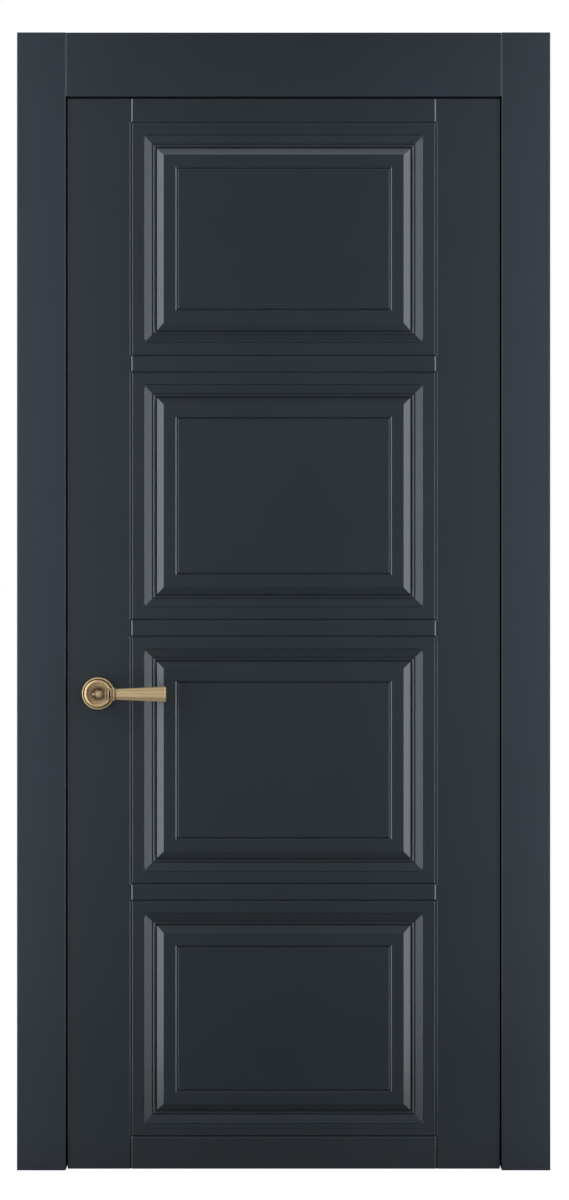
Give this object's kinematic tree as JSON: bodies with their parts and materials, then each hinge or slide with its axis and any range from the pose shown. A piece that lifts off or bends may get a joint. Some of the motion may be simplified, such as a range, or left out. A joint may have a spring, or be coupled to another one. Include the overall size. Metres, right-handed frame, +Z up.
{
  "type": "interior door with frame",
  "caption": "Painted panelled interior door leaf hung on concealed hinges in its rebated frame with flat casings, magnetic latch and antique brass levers.",
  "frame": {"origin": "on the floor, in the middle of the doorway's width and of the leaf's thickness", "axes": "+Z up, +X towards the hinges, -Y the side that the leaf opens to"},
  "size_m": [0.986, 0.1548, 2.1025],
  "materials": {
    "leaf_paint": "satin painted fibreboard",
    "casing_paint": "satin painted fibreboard",
    "frame_paint": "satin painted wood",
    "antique_brass": "aged, brushed back on the edges",
    "seal_rubber": "matt",
    "black_plastic": "moulded",
    "satin_steel": "satin",
    "steel": "zinc plated"
  },
  "bodies": {
    "frame": {"back_head_casing": "casing_paint", "back_hinge_casing": "casing_paint", "back_latch_casing": "casing_paint", "corner_screws": "steel", "frame_hinge_screws": "steel", "frame_pivot_pins": "steel", "front_head_casing": "casing_paint", "front_hinge_casing": "casing_paint", "front_latch_casing": "casing_paint", "head_jamb": "frame_paint", "head_seal": "seal_rubber", "head_stop": "frame_paint", "hinge_jamb": "frame_paint", "hinge_seal": "seal_rubber", "hinge_stop": "frame_paint", "latch_jamb": "frame_paint", "latch_seal": "seal_rubber", "latch_stop": "frame_paint", "lower_frame_housing": "satin_steel", "strike_box": "black_plastic", "strike_magnet": "steel", "strike_plate": "satin_steel", "strike_screws": "steel", "upper_frame_housing": "satin_steel"},
    "leaf": {"back_return_spring": "steel", "back_rosette": "antique_brass", "back_rosette_base": "black_plastic", "bottom_panel": "leaf_paint", "bottom_rail": "leaf_paint", "centre_mid_rail": "leaf_paint", "faceplate_screws": "satin_steel", "front_return_spring": "steel", "front_rosette": "antique_brass", "front_rosette_base": "black_plastic", "hinge_stile": "leaf_paint", "latch_case": "steel", "latch_faceplate": "satin_steel", "latch_stile": "leaf_paint", "leaf_hinge_screws": "steel", "leaf_pivot_pins": "steel", "lower_leaf_housing": "satin_steel", "lower_mid_rail": "leaf_paint", "lower_panel": "leaf_paint", "rosette_bolts": "steel", "top_panel": "leaf_paint", "top_rail": "leaf_paint", "upper_leaf_housing": "satin_steel", "upper_mid_rail": "leaf_paint", "upper_panel": "leaf_paint"},
    "lever": {"front_lever": "antique_brass", "back_lever": "antique_brass", "spindle": "steel", "lever_grub_screws": "steel", "latch_follower": "steel"},
    "bolt": {"latch_bolt": "black_plastic"},
    "frame_arms": {"upper_frame_arm": "steel", "lower_frame_arm": "steel", "arm_centre_pins": "steel"},
    "leaf_arms": {"upper_leaf_arm": "steel", "lower_leaf_arm": "steel"}
  },
  "joints": [
    {"name": "leaf_swing", "type": "hinge", "parent": "frame", "child": "leaf", "pos_m": [0.4015, -0.022, 0], "axis": [0, 0, 1], "range_deg": [0, 95]},
    {"name": "frame_arm_turn", "type": "hinge", "parent": "frame", "child": "frame_arms", "pos_m": [0.41, -0.0075, 0], "axis": [0, 0, 1], "range_deg": [0, 95]},
    {"name": "leaf_arm_turn", "type": "hinge", "parent": "leaf", "child": "leaf_arms", "pos_m": [0.393, -0.0075, 0], "axis": [0, 0, 1], "range_deg": [-95, 0]},
    {"name": "lever_turn", "type": "hinge", "parent": "leaf", "child": "lever", "pos_m": [-0.343, 0, 0.881], "axis": [0, 1, 0], "range_deg": [0, 35], "stiffness_Nm_per_rad": 1.2, "springref_deg": -40.11},
    {"name": "latch_bolt_slide", "type": "slide", "parent": "leaf", "child": "bolt", "axis": [-1, 0, 0], "range_m": [0, 0.01], "stiffness_N_per_m": 150, "springref_m": -0.004}
  ],
  "couplings": [
    {"joint": "frame_arm_turn", "follows": "leaf_swing", "ratio": 1},
    {"joint": "leaf_arm_turn", "follows": "leaf_swing", "ratio": -1}
  ]
}
